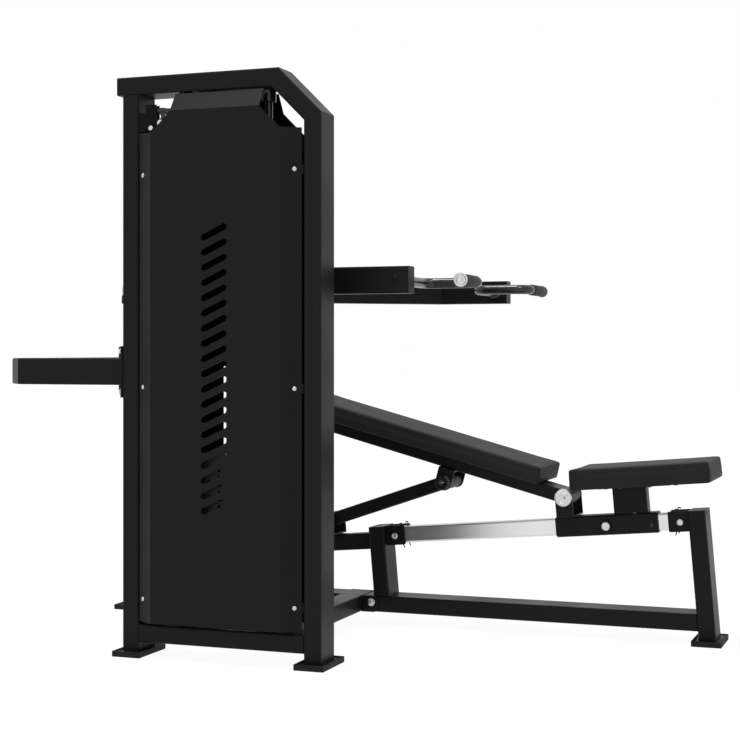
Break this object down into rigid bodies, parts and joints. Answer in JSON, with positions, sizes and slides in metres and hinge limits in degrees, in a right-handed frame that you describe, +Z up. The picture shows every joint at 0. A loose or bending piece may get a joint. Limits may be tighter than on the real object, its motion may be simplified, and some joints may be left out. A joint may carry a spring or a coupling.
{
  "type": "multi press machine",
  "caption": "Black strength machine: shrouded weight tower, pivoting press arm with bent handles, and a padded bench whose sliding seat reclines or raises the backrest.",
  "frame": {"origin": "floor under the press arm's pivot, on the sole of the main upright's foot", "axes": "+X towards the seat end of the bench, +Y away from the weight tower, +Z up"},
  "size_m": [1.9547, 1.3129, 1.6015],
  "materials": {
    "powder_coat": "satin black powder coat",
    "chrome_plate": "polished chrome plate",
    "zinc_plate": "bright zinc-plated steel",
    "gloss_black": "glossy black enamel",
    "grip_rubber": "matt black rubber",
    "pad_vinyl": "grained black upholstery vinyl over foam",
    "plate_paint": "black painted iron",
    "nylon": "black nylon",
    "cable_cover": "black nylon cover over steel cable"
  },
  "bodies": {
    "frame": {"tower_rear_upright": "powder_coat", "tower_front_upright": "powder_coat", "tower_top_tube": "powder_coat", "tower_bottom_tube": "powder_coat", "near_shroud": "powder_coat", "far_shroud": "powder_coat", "rear_guide_rod": "gloss_black", "front_guide_rod": "gloss_black", "rear_bumper": "grip_rubber", "front_bumper": "grip_rubber", "resting_plates": "plate_paint", "lever_pulley_bracket": "powder_coat", "tower_pulley_bracket": "powder_coat", "rear_pulley_bracket": "powder_coat", "stack_pulley_bracket": "powder_coat", "middle_cable": "cable_cover", "lever_cable": "cable_cover", "main_foot": "grip_rubber", "tower_rear_foot": "grip_rubber", "tower_front_foot": "grip_rubber", "bench_foot": "grip_rubber", "main_upright": "powder_coat", "floor_beams": "powder_coat", "bench_floor_beam": "powder_coat", "rear_stay": "powder_coat", "link_beam": "powder_coat", "pivot_axle": "zinc_plate", "arm_stop_bracket": "powder_coat", "arm_stop_buffer": "grip_rubber", "bench_rail": "chrome_plate", "rear_post": "powder_coat", "front_post": "powder_coat"},
    "stack": {"lifted_plates": "plate_paint", "head_block": "plate_paint", "selector_rod": "zinc_plate", "stack_cable": "cable_cover"},
    "selector": {"selector_pin": "gloss_black"},
    "arm": {"arm_spine": "powder_coat", "near_arm": "powder_coat", "far_arm": "powder_coat", "drive_lever": "powder_coat", "cable_eye": "zinc_plate", "near_handle": "gloss_black", "far_handle": "gloss_black", "near_grip": "grip_rubber", "far_grip": "grip_rubber"},
    "lever_sheave": {"lever_pulley": "nylon"},
    "floor_sheave": {"tower_floor_pulley": "nylon"},
    "rear_sheave": {"rear_top_pulley": "nylon"},
    "stack_sheave": {"stack_top_pulley": "nylon"},
    "carriage": {"carriage_sleeve": "powder_coat", "carriage_glide": "nylon", "hinge_pin": "zinc_plate", "seat_pillar": "powder_coat", "seat_pad": "pad_vinyl"},
    "lock": {"lock_knob": "zinc_plate"},
    "backrest": {"backrest_frame": "powder_coat", "backrest_pad": "pad_vinyl", "prop_pin": "gloss_black"},
    "prop": {"prop_frame": "powder_coat"}
  },
  "joints": [
    {"name": "stack_lift", "type": "slide", "parent": "frame", "child": "stack", "axis": [0, 0, 1], "range_m": [0, 0.3045], "deforming": ["stack_cable"]},
    {"name": "press_arm", "type": "hinge", "parent": "frame", "child": "arm", "pos_m": [0, 0, 1.039], "axis": [0, -1, 0], "range_deg": [0, 38.1], "deforming": ["lever_cable"]},
    {"name": "lever_sheave_turn", "type": "hinge", "parent": "frame", "child": "lever_sheave", "pos_m": [0.442, -0.11, 0.1285], "axis": [1, 0, 0], "range_deg": [0, 505]},
    {"name": "floor_sheave_turn", "type": "hinge", "parent": "frame", "child": "floor_sheave", "pos_m": [0.442, -0.6975, 0.1285], "axis": [1, 0, 0], "range_deg": [0, 505]},
    {"name": "rear_sheave_turn", "type": "hinge", "parent": "frame", "child": "rear_sheave", "pos_m": [0.48165, -0.72719, 1.47], "axis": [0.1327, -0.9912, 0], "range_deg": [0, 442]},
    {"name": "stack_sheave_turn", "type": "hinge", "parent": "frame", "child": "stack_sheave", "pos_m": [0.62635, -0.70781, 1.47], "axis": [0.1327, -0.9912, 0], "range_deg": [0, 442]},
    {"name": "selector_pull", "type": "slide", "parent": "stack", "child": "selector", "axis": [0, 1, 0], "range_m": [0, 0.08]},
    {"name": "seat_slide", "type": "slide", "parent": "frame", "child": "carriage", "axis": [-0.9963, 0, -0.0861], "range_m": [0, 0.4]},
    {"name": "seat_lock", "type": "slide", "parent": "carriage", "child": "lock", "axis": [0, -1, 0], "range_m": [0, 0.012], "stiffness_N_per_m": 900, "springref_m": -0.004},
    {"name": "backrest_tilt", "type": "hinge", "parent": "carriage", "child": "backrest", "pos_m": [1.452, 0, 0.4113], "axis": [0, 1, 0], "range_deg": [0, 53]},
    {"name": "prop_swing", "type": "hinge", "parent": "backrest", "child": "prop", "pos_m": [1.081, 0, 0.445], "axis": [0, -1, 0], "range_deg": [0, 101]}
  ],
  "couplings": [
    {"joint": "press_arm", "follows": "stack_lift", "rad_per_m": 2.1787},
    {"joint": "lever_sheave_turn", "follows": "stack_lift", "rad_per_m": 28.571},
    {"joint": "floor_sheave_turn", "follows": "stack_lift", "rad_per_m": 28.571},
    {"joint": "rear_sheave_turn", "follows": "stack_lift", "rad_per_m": 25},
    {"joint": "stack_sheave_turn", "follows": "stack_lift", "rad_per_m": 25},
    {"joint": "backrest_tilt", "follows": "seat_slide", "rad_per_m": 2.2839},
    {"joint": "prop_swing", "follows": "seat_slide", "rad_per_m": 4.3594}
  ]
}
